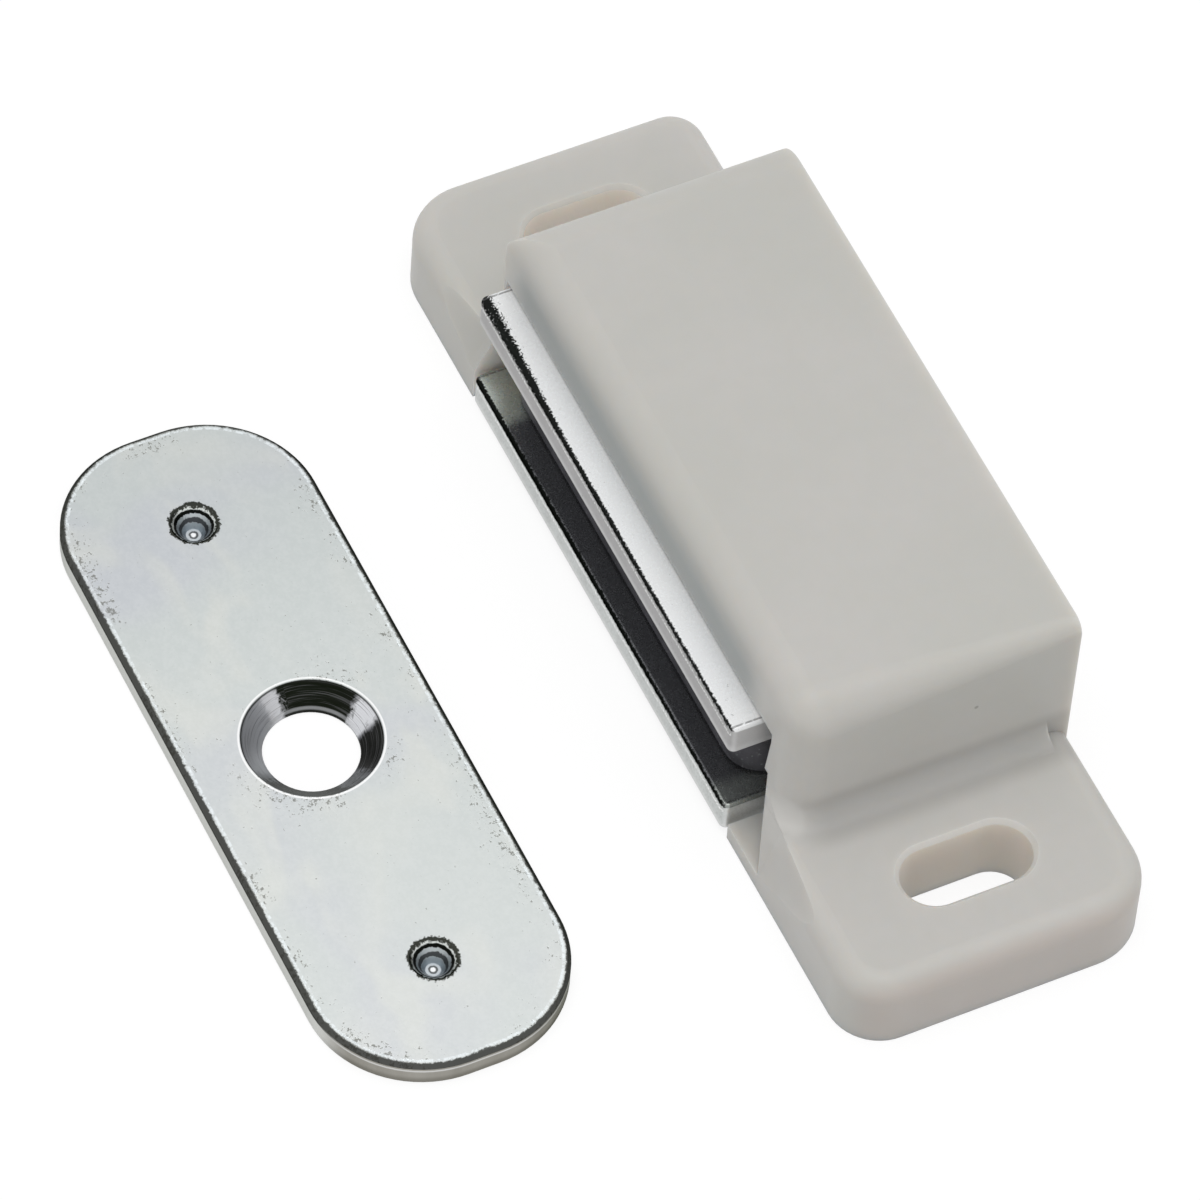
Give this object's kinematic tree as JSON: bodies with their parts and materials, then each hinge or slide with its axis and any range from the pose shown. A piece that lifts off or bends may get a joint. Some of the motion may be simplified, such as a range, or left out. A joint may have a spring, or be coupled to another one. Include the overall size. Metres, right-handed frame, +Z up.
{
  "type": "magnetic catch",
  "caption": "Surface-mounted magnetic cabinet catch: slotted plastic housing with a loose magnet pack between steel pole plates, and its countersunk strike plate.",
  "frame": {"origin": "on the mounting face, midway between the housing's two screw slots", "axes": "+X along the catch towards the end with the low ledge, +Y from the pole tips to the housing's back, +Z up from the mounting face"},
  "size_m": [0.055, 0.041, 0.0129],
  "materials": {
    "housing_plastic": "smooth moulded plastic, warm pale grey",
    "pole_steel": "zinc-plated steel, finely speckled, bare at the tips",
    "ferrite": "ground dark ceramic magnet",
    "strike_steel": "zinc-plated pressed steel, satin"
  },
  "bodies": {
    "catch": {"housing": "housing_plastic", "strike_plate": "strike_steel"},
    "magnet_pack": {"upper_pole_plate": "pole_steel", "lower_pole_plate": "pole_steel", "magnet": "ferrite"}
  },
  "joints": [
    {"name": "pack_rock", "type": "hinge", "parent": "catch", "child": "magnet_pack", "pos_m": [-0.00195, -0.00122, 0], "axis": [0, 0, 1], "range_deg": [-1.2, 1.2]}
  ]
}
